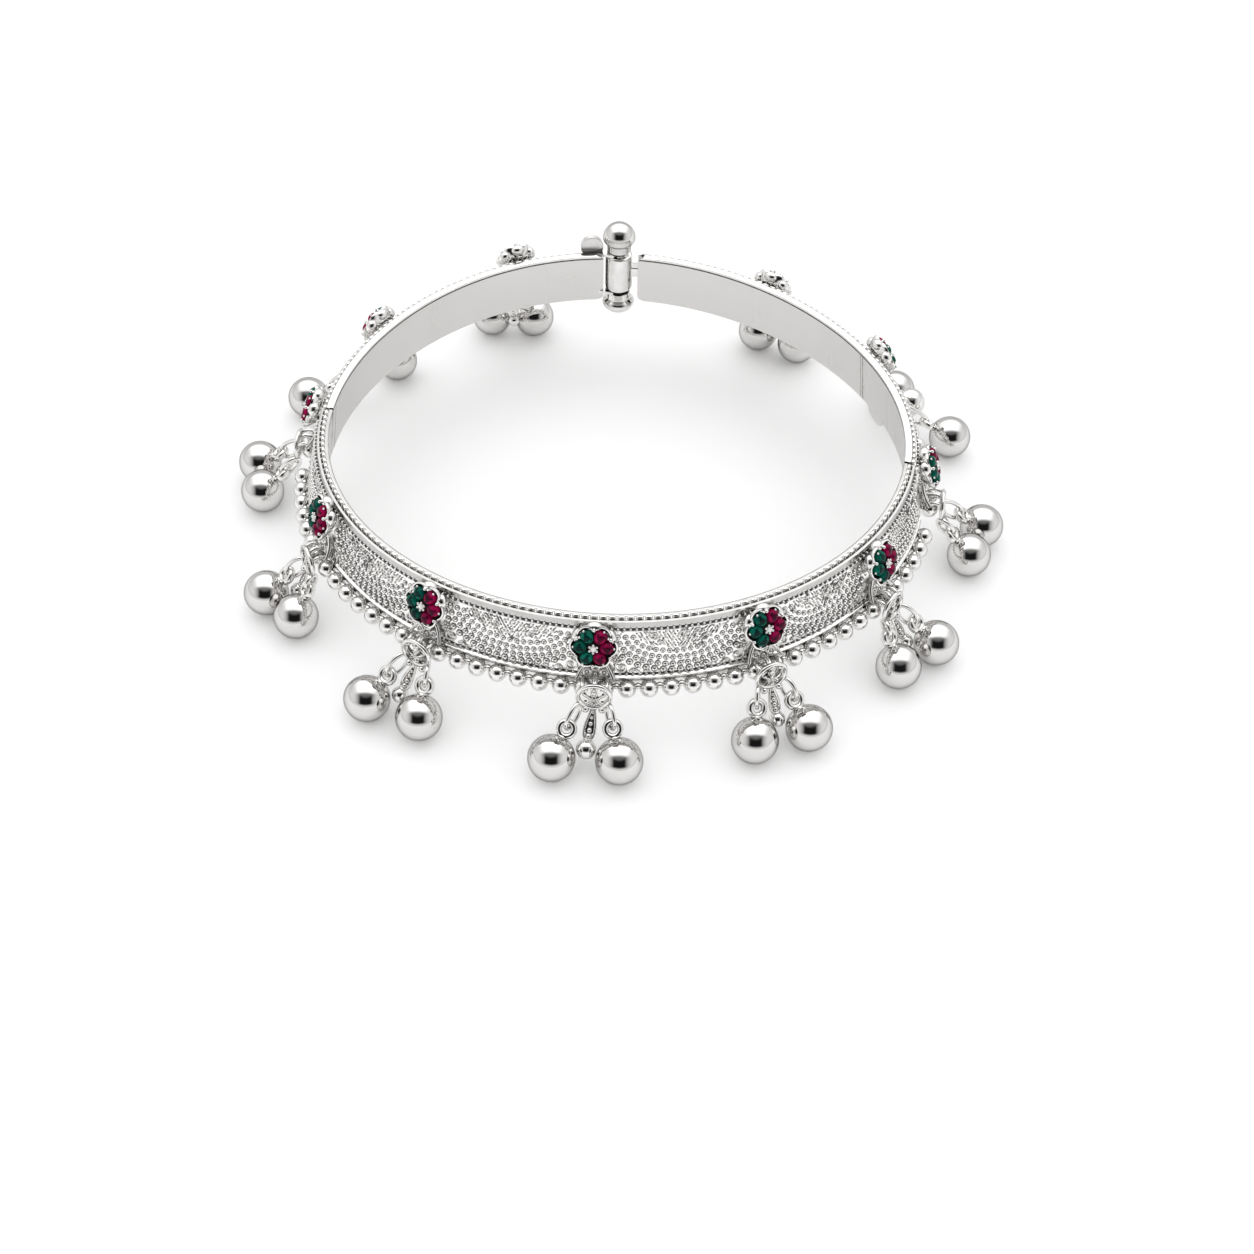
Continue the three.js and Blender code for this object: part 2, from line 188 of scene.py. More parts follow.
def sphere(seg, rings):
    """A ball of radius 1, poles along z."""
    th = np.linspace(0, np.pi, rings + 1)[1:-1]
    ph = np.arange(seg) * 2 * np.pi / seg
    v = [[0, 0, 1]] + [[math.sin(t) * math.cos(p), math.sin(t) * math.sin(p), math.cos(t)] for t in th for p in ph] + [[0, 0, -1]]
    k = len(th)
    tri = [[0, 1 + i, 1 + (i + 1) % seg] for i in range(seg)]
    last = len(v) - 1
    tri += [[last, 1 + (k - 1) * seg + (i + 1) % seg, 1 + (k - 1) * seg + i] for i in range(seg)]
    quad = [[1 + j * seg + i, 1 + (j + 1) * seg + i, 1 + (j + 1) * seg + (i + 1) % seg, 1 + j * seg + (i + 1) % seg]
            for j in range(k - 1) for i in range(seg)]
    return np.array(v, float), [np.array(tri)] + ([np.array(quad)] if quad else [])


def gem(n, table, girdle):
    """A cut stone of radius 1: a table, crown facets and a short girdle, closed below."""
    v, f = [], []
    for r, z, turn in ((table, 0.62, 0.5), (0.86, 0.38, 0.0), (1.0, 0.05, 0.5), (0.96, -girdle, 0.5)):
        for i in range(n):
            a = 2 * math.pi * (i + turn) / n
            v.append([r * math.cos(a), r * math.sin(a), z])
    f.append(list(range(n)))
    for i in range(n):
        j = (i + 1) % n
        f.append([i, n + j, j])
        f.append([n + i, n + j, i])
        f.append([n + j, n + i, 2 * n + i])
        f.append([n + j, 2 * n + i, 2 * n + j])
        f.append([2 * n + i, 3 * n + i, 3 * n + j, 2 * n + j])
    f.append(list(range(4 * n - 1, 3 * n - 1, -1)))
    return np.array(v, float), f


def lathe(rows, seg):
    """A turned form about z from (radius, z) rows; a radius of 0 makes a pole."""
    v, f, rings = [], [], []
    for r, z in rows:
        if r <= 1e-9:
            rings.append([len(v)])
            v.append([0, 0, z])
        else:
            rings.append(list(range(len(v), len(v) + seg)))
            v.extend([[r * math.cos(2 * math.pi * i / seg), r * math.sin(2 * math.pi * i / seg), z] for i in range(seg)])
    for a, b in zip(rings, rings[1:]):
        for i in range(seg):
            j = (i + 1) % seg
            if len(a) == 1 and len(b) == 1:
                continue
            if len(a) == 1:
                f.append([a[0], b[j], b[i]])
            elif len(b) == 1:
                f.append([a[i], a[j], b[0]])
            else:
                f.append([a[i], a[j], b[j], b[i]])
    return np.array(v, float), f


def tube(path, radius, sides, closed=False, up=None):
    """A round wire along a path, with closed ends; radius may vary."""
    p = np.asarray(path, float)
    n = len(p)
    r = np.broadcast_to(np.asarray(radius, float), (n,))
    d = np.roll(p, -1, 0) - np.roll(p, 1, 0) if closed else np.gradient(p, axis=0)
    d /= np.linalg.norm(d, axis=1)[:, None]
    ref = np.asarray(up if up is not None else (0.13, 0.27, 0.95), float)
    x = ref - d[0] * (ref @ d[0])
    if np.linalg.norm(x) < 1e-3:
        ref = np.array([1.0, 0.2, 0.1])
        x = ref - d[0] * (ref @ d[0])
    x /= np.linalg.norm(x)
    v = []
    a = np.arange(sides) * 2 * np.pi / sides
    for i in range(n):
        x = x - d[i] * (x @ d[i])
        x /= np.linalg.norm(x)
        y = np.cross(d[i], x)
        v.append(p[i] + r[i] * (np.cos(a)[:, None] * x + np.sin(a)[:, None] * y))
    v = np.concatenate(v)
    f = []
    for i in range(n if closed else n - 1):
        k = (i + 1) % n
        for j in range(sides):
            m = (j + 1) % sides
            f.append([i * sides + j, i * sides + m, k * sides + m, k * sides + j])
    if not closed:
        v = np.concatenate([v, [p[0] - d[0] * r[0] * 0.5, p[-1] + d[-1] * r[-1] * 0.5]])
        s, e = n * sides, n * sides + 1
        for j in range(sides):
            m = (j + 1) % sides
            f.append([s, m, j])
            f.append([e, (n - 1) * sides + j, (n - 1) * sides + m])
    return v, f


def moved(part, m):
    """A part with a 3x3 frame and an origin applied."""
    v, f = part
    rot, o = m
    return v @ np.asarray(rot).T + np.asarray(o), f


def prism(outline, z0, z1, bevel=0.0):
    """A closed upright form from an outline, with a small bevel on both faces."""
    o = np.asarray(outline, float)
    n = len(o)
    c = o.mean(0)
    inner = o + (c - o) / np.linalg.norm(o - c, axis=1)[:, None] * bevel
    rows = [(inner, z0), (o, z0 + bevel), (o, z1 - bevel), (inner, z1)] if bevel else [(o, z0), (o, z1)]
    v = np.concatenate([np.column_stack([q, np.full(n, z)]) for q, z in rows])
    f = []
    for k in range(len(rows) - 1):
        for i in range(n):
            j = (i + 1) % n
            f.append([k * n + i, k * n + j, (k + 1) * n + j, (k + 1) * n + i])
    f.append(list(range(n - 1, -1, -1)))
    f.append(list(range((len(rows) - 1) * n, len(rows) * n)))
    return v, f


# ---- materials ------------------------------------------------------------------
def material(name, color, metallic, rough, **more):
    m = bpy.data.materials.new(name)
    m.use_nodes = True
    nt = m.node_tree
    b = nt.nodes["Principled BSDF"]
    b.inputs["Base Color"].default_value = (*color, 1)
    b.inputs["Metallic"].default_value = metallic
    b.inputs["Roughness"].default_value = rough
    for k, val in more.items():
        b.inputs[k.replace("_", " ")].default_value = val
    return m, nt, b


def noise(nt, scale, detail=2.0, stretch=(1, 1, 1), kind="ShaderNodeTexNoise"):
    tc = nt.nodes.new("ShaderNodeTexCoord")
    mp = nt.nodes.new("ShaderNodeMapping")
    mp.inputs["Scale"].default_value = stretch
    tx = nt.nodes.new(kind)
    tx.inputs["Scale"].default_value = scale
    if "Detail" in tx.inputs:
        tx.inputs["Detail"].default_value = detail
    nt.links.new(tc.outputs["Object"], mp.inputs["Vector"])
    nt.links.new(mp.outputs["Vector"], tx.inputs["Vector"])
    return tx


def ramp(nt, source, lo, hi, a, b):
    r = nt.nodes.new("ShaderNodeMapRange")
    r.inputs["From Min"].default_value = lo
    r.inputs["From Max"].default_value = hi
    r.inputs["To Min"].default_value = a
    r.inputs["To Max"].default_value = b
    nt.links.new(source, r.inputs["Value"])
    return r.outputs["Result"]


def color_mix(nt, factor, a, b):
    r = nt.nodes.new("ShaderNodeValToRGB")
    r.color_ramp.elements[0].color = (*a, 1)
    r.color_ramp.elements[1].color = (*b, 1)
    nt.links.new(factor, r.inputs["Fac"])
    return r.outputs["Color"]


def bump(nt, shader, height, strength, distance):
    b = nt.nodes.new("ShaderNodeBump")
    b.inputs["Strength"].default_value = strength
    b.inputs["Distance"].default_value = distance
    nt.links.new(height, b.inputs["Height"])
    nt.links.new(b.outputs["Normal"], shader.inputs["Normal"])


def silver(name, light, dark, r0, r1, scale, bump_scale=None, bump_by=0.0, bump_dist=2e-5, stretch=(1, 1, 1), cut=(0.3, 0.7), edge=0.42):
    m, nt, b = material(name, light, 1.0, r0, Specular_Tint=(edge, edge, edge, 1))
    tx = noise(nt, scale, 3.0, stretch)
    nt.links.new(ramp(nt, tx.outputs["Fac"], 0.3, 0.7, r0, r1), b.inputs["Roughness"])
    nt.links.new(color_mix(nt, ramp(nt, tx.outputs["Fac"], *cut, 0, 1), dark, light), b.inputs["Base Color"])
    if bump_scale:
        t2 = noise(nt, bump_scale, 2.0, stretch)
        bump(nt, b, t2.outputs["Fac"], bump_by, bump_dist)
    return m


SILVER = silver("silver_polished", (0.88, 0.87, 0.855), (0.79, 0.78, 0.766), 0.04, 0.10, 900, 3500, 0.10, edge=0.55)
BALL = silver("silver_mirror", (0.72, 0.708, 0.694), (0.69, 0.68, 0.667), 0.02, 0.045, 350, 900, 0.015)
SATIN = silver("silver_satin", (0.75, 0.738, 0.725), (0.725, 0.713, 0.70), 0.26, 0.32, 120, 5200, 0.05, 1e-5, (1, 1, 0.3), edge=0.8)
FIELD = silver("silver_field", (0.95, 0.94, 0.925), (0.13, 0.127, 0.123), 0.12, 0.28, 1500, 2600, 0.3, 5e-5, cut=(0.33, 0.40), edge=0.95)
# painted shade: recesses, grooves, the clasp's neck and the pits between beads
SHADE_PAINT = silver("silver_painted_shade", (0.16, 0.157, 0.152), (0.06, 0.058, 0.056), 0.35, 0.6, 1300, 3000, 0.3)
# painted shade in pits and under beads, and painted reflection dots on beads
PAINTED_SHADE_AND_REFLECTION = silver("silver_painted_shade_and_reflection", (0.38, 0.373, 0.365), (0.14, 0.137, 0.133), 0.3, 0.5, 1300, 3000, 0.2)
# painted shade for the bed under the flower stones
BED_SHADE_PAINT = silver("silver_painted_bed_shade", (0.05, 0.048, 0.046), (0.02, 0.019, 0.018), 0.4, 0.6, 1300, 3000, 0.2)
RIM = silver("silver_rim", (0.58, 0.57, 0.558), (0.48, 0.472, 0.462), 0.12, 0.25, 700, 3000, 0.15, edge=0.7)
GREY = silver("silver_shaded", (0.56, 0.55, 0.54), (0.36, 0.353, 0.345), 0.22, 0.40, 1500, 3000, 0.2)


def stone(name, light, dark, rough=0.2):
    m, nt, b = material(name, light, 0.0, rough, Specular_IOR_Level=0.5, IOR=1.2)
    tx = noise(nt, 700, 2.0)
    nt.links.new(color_mix(nt, ramp(nt, tx.outputs["Fac"], 0.35, 0.65, 0, 1), dark, light), b.inputs["Base Color"])
    return m


GREEN = stone("stone_green", (0.0, 0.112, 0.076), (0.0, 0.042, 0.032))
# shaded copy of the green: painted shade on stone tables and facets
GREEN_SHADE_PAINT = stone("stone_green_painted_shade", (0.0, 0.020, 0.017), (0.0, 0.010, 0.009))
MAGENTA = stone("stone_magenta", (0.26, 0.0, 0.050), (0.12, 0.0, 0.025))
# shaded copy of the magenta: painted shade on stone tables and facets
MAGENTA_SHADE_PAINT = stone("stone_magenta_painted_shade", (0.060, 0.0, 0.015), (0.025, 0.0, 0.008))
CLEAR = stone("stone_clear", (0.80, 0.80, 0.79), (0.45, 0.45, 0.45))
MATS = [SILVER, FIELD, SATIN, SHADE_PAINT, GREY, RIM]


# ---- the band's wall -------------------------------------------------------------
# (radius, drop, material of the strip that starts here): 0 polished, 1 field,
# 2 satin, 3 painted shade in the recesses, 4 shaded grey, 5 rim. Walked up the inner wall, over the rim, down the
# face.
def section(front):
    """The front segment has its rope in a groove of the rim; on the rear
    segments the rim is plain and the rope sits lower, on its outer edge."""
    flat = 5 if front else 0
    inner = [
        (39.9, 8.45, 2), (39.87, 8.2, 2), (39.84, 7.9, 2), (39.79, 7.4, 2), (39.7, 6.6, 2), (39.45, 4.3, 2), (39.2, 2.0, 2), (39.1, 1.0, 2),
        (39.06, 0.66, 3), (39.03, 0.40, 0), (39.01, 0.28, 0), (39.0, 0.18, 0), (39.04, 0.06, flat), (39.14, 0.0, flat),
    ]
    if front:
        rim = [(39.45, 0.0, 0), (39.50, 0.03, 0), (39.53, 0.12, 0), (39.62, 0.16, 0), (40.10, 0.16, 0), (40.22, 0.12, 5), (40.26, 0.08, 5),
               (40.54, 0.08, 5), (40.60, 0.12, 5)]
    else:
        rim = [(39.9, 0.0, 4), (40.0, 0.01, 4), (40.05, 0.05, 4), (40.08, 0.2, 4), (40.14, 0.40, 4), (40.26, 0.46, 4), (40.36, 0.44, 0), (40.42, 0.40, 0),
               (40.58, 0.38, 0), (40.65, 0.42, 0)]
    return inner + rim + [
        (40.74, 0.80, 0), (40.75, 0.86, 4), (40.71, 0.90, 4), (40.73, 1.20, 4), (40.80, 1.26, 1),
        (40.87, 1.5, 1), (41.17, 3.0, 1), (41.55, 5.0, 1), (41.93, 7.0, 1), (42.02, 7.42, 3), (41.98, 7.5, 3),
        (42.02, 7.72, 4), (42.12, 7.80, 0), (42.32, 7.84, 0), (42.46, 7.94, 0), (42.5, 8.1, 0), (42.44, 8.26, 3),
        (42.28, 8.34, 3), (42.22, 8.6, 0), (42.2, 9.1, 2), (41.7, 9.0, 2),
    ]


def wall(b, az0, az1, end0, end1, front, step=1.0):
    """Sweeps the section between two azimuths; end0/end1 give, for a radius and
    drop, how far in millimetres each end stands back from its azimuth."""
    rows = section(front)
    n = max(2, int(round((az1 - az0) / step)))
    t = np.linspace(0, 1, n + 1)
    cols = []
    for r, d, _ in rows:
        a0 = az0 + np.degrees(end0(r, d) / r)
        a1 = az1 - np.degrees(end1(r, d) / r)
        cols.append(place(a0 + (a1 - a0) * t, r, d))
    v = np.stack(cols, 1).reshape(-1, 3)
    k = len(rows)
    f, m = [], []
    for i in range(n):
        for j in range(k):
            q = (j + 1) % k
            f.append([i * k + j, i * k + q, (i + 1) * k + q, (i + 1) * k + j])
            m.append(rows[j][2])
    f.append(list(range(k - 1, -1, -1)))
    f.append([n * k + j for j in range(k)])
    m += [0, 0]
    b.add(v, f, m)


def wall_line(b, az, width, mat):
    """A fine upright bead on the inner wall, as a soldered joint leaves."""
    d = np.linspace(0.75, 8.3, 9)
    p = place(az, 39.0 + 0.9 * d / 8.45 + 0.01, d)
    b.add(*tube(p, width, 6), mat)


def hinge_end(r, d):
    return END_GAP if r < HINGE_R else max(END_GAP, NOTCH_V + (r - HINGE_R) * NOTCH_TAN)


def plain_end(r, d):
    return END_GAP


def round_end(stand):
    def end(r, d):
        c = 1.0
        over = max(0.0, c - d, d - (8.45 - c))
        over = min(over, c)
        return stand + c - math.sqrt(max(0.0, c * c - over * over))
    return end


def arc_rows(az0, az1, pitch, r):
    """Azimuths of beads in a row between two azimuths."""
    n = max(1, int(round(math.radians(az1 - az0) * r / pitch)))
    return az0 + (np.arange(n) + 0.5) * (az1 - az0) / n


BEAD = sphere(8, 5)
BEAD_FINE = sphere(10, 7)
GRAIN = sphere(6, 4)
ROUND = sphere(18, 12)


def capsule(seg, rings, power):
    """A ball whose ends are squared off along x, so that a row of them reads as links."""
    v, f = sphere(seg, rings)
    v = v[:, [2, 0, 1]]                       # poles along x
    v[:, 0] = np.sign(v[:, 0]) * np.abs(v[:, 0]) ** power
    return v, f


LINK = capsule(10, 8, 0.62)


def rope_rows(b, az0, az1, front, notch0=0.0, notch1=0.0):
    """Beaded edges with painted shade in the pits between the beads: the rope on the rim, the fine row under the
    channel, the row above the rail. notch0/notch1 hold the lower rows back at a hinge."""
    # the pieces given material 1 here are painted shade beside and between the beads
    a = arc_rows(az0, az1, 1.15, 40)
    if front:
        b.array(LINK, place(a, 39.76, 0.1), face_frames(a, 1.2), (0.54, 0.30, 0.36))
        b.array(BEAD, place(a, 40.07, 0.06), face_frames(a, 1.2), (0.36, 0.17, 0.14), 1)
    else:
        b.array(LINK, place(a, 40.24, 0.34), face_frames(a, 1.0), (0.53, 0.33, 0.33))
        b.array(GRAIN, place(a, 40.46, 0.38), face_frames(a, 1.0), (0.30, 0.10, 0.12), 1)
    a = arc_rows(az0 + notch0 * 0.4, az1 - notch1 * 0.4, 0.78, 41)
    half = (a[1] - a[0]) / 2
    b.array(BEAD, place(a + half, 40.84, 1.02), face_frames(a + half, 0.5), (0.20, 0.20, 0.22))
    b.array(GRAIN, place(a, 40.84, 1.08), face_frames(a, 0.4), (0.28, 0.14, 0.13), 1)
    a = arc_rows(az0 + notch0, az1 - notch1, 0.84, 42)
    half = (a[1] - a[0]) / 2
    b.array(BEAD, place(a + half, 42.05, 7.58), face_frames(a + half), (0.22, 0.18, 0.17))
    b.array(GRAIN, place(a, 42.04, 7.62), face_frames(a), (0.27, 0.10, 0.08), 1)


def big_beads(b, az0, az1):
    a = arc_rows(az0, az1, 2.79, 43.3)
    b.array(ROUND, place(a, 43.3, 8.95), face_frames(a, 0.5), 1.17)
    # a short collar between neighbours keeps the row one string
    if len(a) > 1:
        mid = (a[1:] + a[:-1]) / 2
        b.array(BEAD, place(mid, 43.0, 8.8), face_frames(mid, 0.5), (0.55, 0.42, 0.42))


def festoons(b, mid, half, left=True, right=True):
    """One panel between two flowers: four bead festoons, the stippled half-moon
    with leaf strokes above them, and the scrolls in the lower corners. half is
    half the spacing in millimetres; left and right choose the halves to fill."""
    lo = -1e9 if left else 0.3
    hi = 1e9 if right else -0.3
    top = 1.75
    widths = [half - 4.7, half - 3.75, half - 2.75, half - 1.7]
    lows = [4.45, 5.45, 6.4, 7.2]
    sizes = [(0.33, 0.86), (0.35, 0.90), (0.38, 0.96), (0.43, 1.08)]
    for w, low, (r, pitch) in zip(widths, lows, sizes):
        th = np.linspace(0, np.pi, 400)
        u, d = -w * np.cos(th), top + (low - top) * np.sin(th) ** 0.85
        s = np.concatenate([[0], np.cumsum(np.hypot(np.diff(u), np.diff(d)))])
        n = int(s[-1] / pitch)
        at = (np.arange(n) + 0.5) * s[-1] / n
        u, d = np.interp(at, s, u), np.interp(at, s, d)
        keep = (u > lo) & (u < hi) & (np.abs(u) < half - 1.0)
        clear = np.hypot(half - np.abs(u), d - 2.3) > 2.2
        u, d = u[keep & clear], d[keep & clear]
        p, a = on_face(mid, d, u, r * 0.22)
        b.array(BEAD_FINE, p, face_frames(a, TILT + 0.12), (r, r, r * 0.72))
        # a flat dark disc under each bead: painted shade
        p, a = on_face(mid, d, u, 0.03)
        b.array(GRAIN, p, face_frames(a), (r * 1.2, r * 1.2, 0.07), 1)
        # a small dark dot on each bead, just below its middle: painted reflection
        p, a = on_face(mid, d + 0.06, u, r * 0.88)
        b.array(GRAIN, p, face_frames(a), (0.14, 0.12, 0.07), 1)
    # stippled field inside the innermost festoon
    w, low = widths[0] - 0.55, lows[0] - 0.55
    g = 0.46
    uu, dd = np.meshgrid(np.arange(-w, w, g), np.arange(1.7, low + 0.2, g * 0.9))
    uu = uu + (np.round(dd / (g * 0.9)).astype(int) % 2) * g / 2
    ok = (dd - top) < (low - top) * np.sqrt(np.clip(1 - (uu / w) ** 2, 0, 1))
    ok &= (uu > lo) & (uu < hi) & (np.hypot(half - np.abs(uu), dd - 2.3) > 2.9)
    uu, dd = uu[ok], dd[ok]
    if len(uu):
        uu = uu + rng.uniform(-0.08, 0.08, len(uu))
        dd = dd + rng.uniform(-0.08, 0.08, len(dd))
        # leaf strokes: every other grain is drawn out along a vein
        p, a = on_face(mid, dd, uu, 0.03)
        fr = face_frames(a)
        lean = np.where(uu > 0, 0.75, -0.75) + 0.25 * np.sin(uu * 1.7)
        c, s_ = np.cos(lean), np.sin(lean)
        x = fr[..., 0] * c[:, None] + fr[..., 1] * s_[:, None]
        y = -fr[..., 0] * s_[:, None] + fr[..., 1] * c[:, None]
        fr = np.stack([x, y, fr[..., 2]], -1)
        long = ((np.floor(dd / 0.83) + np.floor(uu / 0.9)) % 2) == 0
        # about four grains in ten are sunk, smaller and dark: painted shade in the pits
        pit = rng.random(len(uu)) < 0.42
        sc = np.where(long[:, None], (0.46, 0.14, 0.19), (0.19, 0.19, 0.19))
        b.array(GRAIN, p[~pit], fr[~pit], sc[~pit])
        b.array(GRAIN, p[pit], fr[pit], sc[pit] * (0.8, 0.62, 0.5), 1)
    # lower corners: a scroll, a rosette ring and grains on each side
    for side in (-1, 1):
        if (side < 0 and not left) or (side > 0 and not right):
            continue
        t = np.linspace(0, 1, 26)
        turn = 1.5 * np.pi + 2.6 * np.pi * t
        rr = 0.95 * (1 - 0.78 * t)
        cu, cd = side * (half - 3.15), 6.55
        u = cu + side * rr * np.cos(turn)
        d = cd + rr * np.sin(turn) * 0.9
        p, a = on_face(mid, d, u, 0.12)
        b.add(*tube(p, 0.13, 6))
        t = np.linspace(0, 1, 14)
        u = side * (half - 4.2 - 1.5 * t)
        d = 7.15 - 0.35 * np.sin(t * np.pi * 1.5)
        p, a = on_face(mid, d, u, 0.1)
        b.add(*tube(p, 0.12, 6))
        ring = np.arange(7) * 2 * np.pi / 7
        p, a = on_face(mid, 5.35 + 0.42 * np.sin(ring), side * (half - 2.35) + 0.42 * np.cos(ring), 0.12)
        b.array(GRAIN, p, face_frames(a), 0.19)
        p, a = on_face(mid, np.array([5.35, 6.55, 7.2, 7.05]), side * (half - np.array([2.35, 3.1, 2.1, 4.6])), 0.14)
        b.array(GRAIN, p, face_frames(a), 0.24)
        # slanted dashes that fill the corner under the outer festoon
        k = np.arange(5)
        p, a = on_face(mid, 7.22 - 0.02 * k, side * (half - 5.4 - 0.62 * k), 0.05)
        b.array(GRAIN, p, face_frames(a), (0.15, 0.24, 0.14))


AZ = [s[0] for s in STATIONS]


def panel(i, j):
    """Middle azimuth and half spacing in millimetres between stations i and j."""
    a, c = AZ[i], AZ[j]
    if c < a:
        c += 360
    mid = (a + c) / 2
    return mid, math.radians((c - a) / 2) * face_r(4.5)


def knuckles(b, side, drops):
    az = HINGE_AZ[side]
    for d0, d1 in drops:
        o = place(az, HINGE_R, 0)
        o[2] = 0
        rows = [(0, RIM_Z - d1), (0.65, RIM_Z - d1), (0.65, RIM_Z - d0), (0, RIM_Z - d0)]
        b.add(*moved(lathe(rows, 24), (np.eye(3), o)), 0)


E = math.degrees(END_GAP / HINGE_R)
L_AZ, R_AZ = HINGE_AZ["left"] - 360, HINGE_AZ["right"]

# front segment
b = Build()
wall(b, L_AZ, R_AZ, hinge_end, hinge_end, True)
for side in ("left", "right"):
    knuckles(b, side, [(1.6, 3.0), (5.85, 7.9)])
b.object("band_wall_front", MATS, "front", ["band_front"], sharp=38)
b = Build()
NOTCH = math.degrees((NOTCH_V + 1.5 * NOTCH_TAN) / 42)
rope_rows(b, L_AZ + E, R_AZ - E, True, NOTCH, NOTCH)
b.object("band_edges_front", [SILVER, SHADE_PAINT], "front")
b = Build()
BIG_NOTCH = math.degrees((NOTCH_V + 2.7 * NOTCH_TAN) / 43.3)
big_beads(b, L_AZ + BIG_NOTCH, R_AZ - BIG_NOTCH)
b.object("band_beads_front", [SILVER], "front")
b = Build()
for i, j in ((9, 10), (10, 0), (0, 1), (1, 2)):
    festoons(b, *panel(i, j))
b.object("band_festoons_front", [SILVER, PAINTED_SHADE_AND_REFLECTION], "front")


def part_panel(b_, i, j, lo_az, hi_az):
    """A panel that a segment end cuts: its parts that reach past the azimuths are left out."""
    tmp = Build()
    festoons(tmp, *panel(i, j))
    v = np.concatenate(tmp.v)
    mid = (lo_az + hi_az) / 2
    az = (np.degrees(np.arctan2(v[:, 0], -v[:, 1])) - mid + 180) % 360 - 180 + mid
    lab = list(range(tmp.n))

    def find(x):
        while lab[x] != x:
            lab[x] = lab[lab[x]]
            x = lab[x]
        return x

    for f in tmp.f:
        r0 = find(f[0])
        for x in f[1:]:
            lab[find(x)] = r0
    root = np.array([find(x) for x in range(tmp.n)])
    lo_by, hi_by = np.full(tmp.n, 1e9), np.full(tmp.n, -1e9)
    np.minimum.at(lo_by, root, az)
    np.maximum.at(hi_by, root, az)
    keep = (lo_by[root] > lo_az) & (hi_by[root] < hi_az)
    new = np.cumsum(keep) - 1
    f = [[int(new[x]) for x in face] for face in tmp.f if keep[face[0]]]
    m = [k for face, k in zip(tmp.f, tmp.m) if keep[face[0]]]
    b_.add(v[keep], f, m)


# the panels that the hinges cut: 2-3 at the right, 8-9 at the left
LB = CLASP_AZ + math.degrees(LEFT_END / CLASP_R)
RB = CLASP_AZ - math.degrees(RIGHT_END / CLASP_R)
b = Build()
part_panel(b, 2, 3, 40, R_AZ - NOTCH - 0.4)
part_panel(b, 8, 9, L_AZ + NOTCH + 0.4, L_AZ + 40)
b.object("band_corner_panels_front", [SILVER, PAINTED_SHADE_AND_REFLECTION], "front")

# rear segments
for side, body in (("left", "arm_left"), ("right", "arm_right")):
    b = Build()
    if side == "left":
        a0, a1 = CLASP_AZ, HINGE_AZ["left"]
        wall(b, a0, a1, round_end(LEFT_END), plain_end, False)
    else:
        a0, a1 = HINGE_AZ["right"], CLASP_AZ
        wall(b, a0, a1, plain_end, round_end(RIGHT_END), False)
    knuckles(b, side, [(3.15, 5.7)])
    if side == "right":
        # the rounded tab below the wall, and the joint lines on the wall's inner side
        q = np.radians(np.arange(180, 361, 10))
        outline = [[TAB_HALF_W * math.cos(w), TAB_DEPTH * math.sin(w)] for w in q] + [[TAB_HALF_W, 0.9], [-TAB_HALF_W, 0.9]]
        fr = np.stack([tangent(TAB_AZ), np.array([0, 0, 1.0]), -radial(TAB_AZ)], -1)
        v, f = prism(outline, -0.8, 0.0, 0.14)
        b.add(v @ fr.T + place(TAB_AZ, 39.84, 8.35), [g[::-1] for g in f] if np.linalg.det(fr) < 0 else f, 2)
        for az, w, mat in ((115.2, 0.09, 4), (116.0, 0.07, 4), (103.8, 0.05, 2)):
            wall_line(b, az, w, mat)
    else:
        wall_line(b, 265.1, 0.06, 4)
    b.object(f"band_wall_{body}", MATS, body, [f"band_rear_{side}"], sharp=38)
    b = Build()
    lo, hi = (LB + 6.2, HINGE_AZ["left"] - E) if side == "left" else (HINGE_AZ["right"] + E, RB - 2.4)
    rope_rows(b, lo, hi, False)
    b.object(f"band_edges_{body}", [SILVER, SHADE_PAINT], body)
    b = Build()
    big_beads(b, *((LB + 2.4, HINGE_AZ["left"] - 0.6) if side == "left" else (HINGE_AZ["right"] + 0.6, RB - 2.4)))
    b.object(f"band_beads_{body}", [SILVER], body)
    b = Build()
    for i, j in (((6, 7), (7, 8)) if side == "left" else ((3, 4), (4, 5))):
        festoons(b, *panel(i, j))
    if side == "left":
        part_panel(b, 5, 6, LB + 0.5, 203)
        part_panel(b, 8, 9, 250, HINGE_AZ["left"] - 0.6)
    else:
        part_panel(b, 5, 6, 146, RB - 0.5)
        part_panel(b, 2, 3, HINGE_AZ["right"] + 0.6, 100)
    b.object(f"band_festoons_{body}", [SILVER, PAINTED_SHADE_AND_REFLECTION], body)


# ---- the clasp ----------------------------------------------------------------------
CO = place(CLASP_AZ, CLASP_R - plan_offset(CLASP_AZ), 0)
CO[2] = 0
CF = np.stack([tangent(CLASP_AZ), -radial(CLASP_AZ), np.array([0, 0, 1.0])], -1)
z = RIM_Z
b = Build()
rows = [(0, z - 6.1), (0.95, z - 6.1), (0.95, z + 0.12), (1.70, z + 0.12), (1.80, z + 0.2), (1.82, z + 0.5), (1.86, z + 0.9), (1.97, z + 1.35),
        (2.02, z + 1.5), (2.28, z + 1.72), (2.40, z + 1.95)]
rows += [(2.45 * math.cos(a), z + 2.2 + 2.45 * math.sin(a)) for a in np.radians(np.arange(0, 90, 6))] + [(0, z + 4.65)]
b.add(*moved(lathe(rows, 56), (CF, CO)))
b.object("clasp_cap", [BALL], "pin", ["clasp_pin"], sharp=35)

